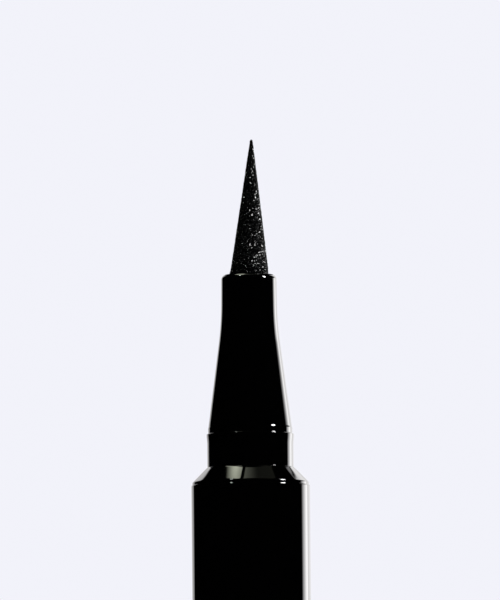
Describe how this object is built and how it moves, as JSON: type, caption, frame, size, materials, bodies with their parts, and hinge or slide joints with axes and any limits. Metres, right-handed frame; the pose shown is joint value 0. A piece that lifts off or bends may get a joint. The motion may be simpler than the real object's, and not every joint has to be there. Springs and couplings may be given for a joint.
{
  "type": "liquid eyeliner pen",
  "caption": "Glossy black liquid eyeliner pen, open, with a conical porous nib, a comb collector and ink tank inside, and its sprung cap posted on the tail.",
  "frame": {"origin": "centre of the posted cap's closed end, which the pen stands on", "axes": "+Z along the pen's axis to the nib's point; +X and +Y are square to it"},
  "size_m": [0.0104, 0.0104, 0.1602],
  "materials": {
    "nib_porous": "porous sintered felt, soaked with black ink",
    "rod_fibre": "bonded fibre, soaked with black ink",
    "section_black": "moulded, high gloss",
    "collector_clear": "moulded, natural, satin",
    "stopper_white": "moulded, satin",
    "barrel_black": "moulded, high gloss",
    "ball_steel": "polished",
    "plug_black": "moulded, high gloss",
    "seal_rubber": "moulded, matte",
    "cap_black": "moulded, high gloss",
    "inner_cap_white": "moulded, waxy satin",
    "spring_steel": "bright drawn wire"
  },
  "bodies": {
    "cap": {"cap_shell": "cap_black", "cap_spring": "spring_steel"},
    "seal_cup": {"inner_cap": "inner_cap_white"},
    "pen": {"nib": "nib_porous", "feed_rod": "rod_fibre", "front_section": "section_black", "collector": "collector_clear", "tank_stopper": "stopper_white", "barrel": "barrel_black", "tail_plug": "plug_black", "tail_seal": "seal_rubber"},
    "ball": {"mixing_ball": "ball_steel"}
  },
  "joints": [
    {"name": "cap_pull", "type": "slide", "parent": "cap", "child": "pen", "axis": [0, 0, 1], "range_m": [0, 0.02]},
    {"name": "inner_cap_push", "type": "slide", "parent": "cap", "child": "seal_cup", "axis": [0, 0, -1], "range_m": [0, 0.0015], "stiffness_N_per_m": 250, "springref_m": -0.0036, "deforming": ["cap_spring"]},
    {"name": "ball_roll", "type": "slide", "parent": "pen", "child": "ball", "axis": [0, 0, 1], "range_m": [0, 0.0415]}
  ]
}
